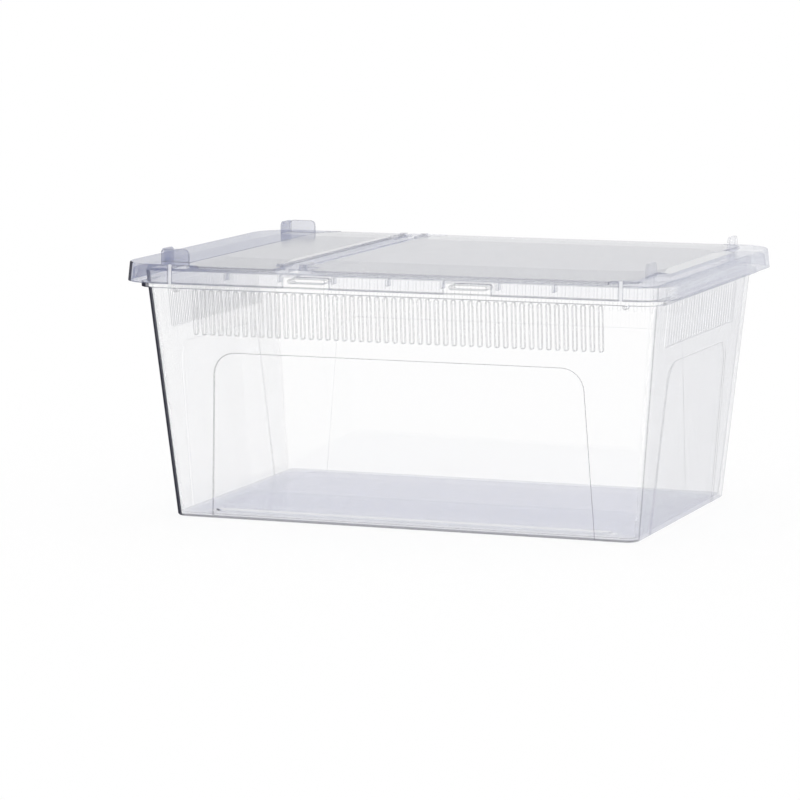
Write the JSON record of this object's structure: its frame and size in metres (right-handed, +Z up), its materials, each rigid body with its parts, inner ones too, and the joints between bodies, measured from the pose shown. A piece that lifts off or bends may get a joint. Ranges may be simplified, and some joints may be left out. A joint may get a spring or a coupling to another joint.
{
  "type": "reptile breeding box",
  "caption": "Clear rectangular breeding box: a drafted tub with slotted vent bands under a lift-off lid frame that carries a small feeding door and a large main door.",
  "frame": {"origin": "centre of the tub's flat underside", "axes": "+X along the length, from the feeding door towards the main door's lifting edge; +Y to the back; +Z up"},
  "size_m": [0.33, 0.225, 0.1556],
  "materials": {
    "clear_tub": "clear injection-moulded polystyrene, polished",
    "clear_lid_frame": "clear injection-moulded polystyrene, polished",
    "clear_feeding_door": "clear injection-moulded polystyrene, fine satin",
    "clear_main_door": "clear injection-moulded polystyrene, fine satin"
  },
  "bodies": {
    "tub": {"tub": "clear_tub"},
    "lid": {"lid_frame": "clear_lid_frame"},
    "feeding_door": {"feeding_door": "clear_feeding_door"},
    "main_door": {"main_door": "clear_main_door"}
  },
  "joints": [
    {"name": "lid_lift", "type": "slide", "parent": "tub", "child": "lid", "axis": [0, 0, 1], "range_m": [0, 0.06]},
    {"name": "feeding_door_hinge", "type": "hinge", "parent": "lid", "child": "feeding_door", "pos_m": [-0.068, 0, 0.148], "axis": [0, 1, 0], "range_deg": [0, 95]},
    {"name": "main_door_hinge", "type": "hinge", "parent": "lid", "child": "main_door", "pos_m": [-0.0545, 0, 0.148], "axis": [0, -1, 0], "range_deg": [0, 95]}
  ]
}
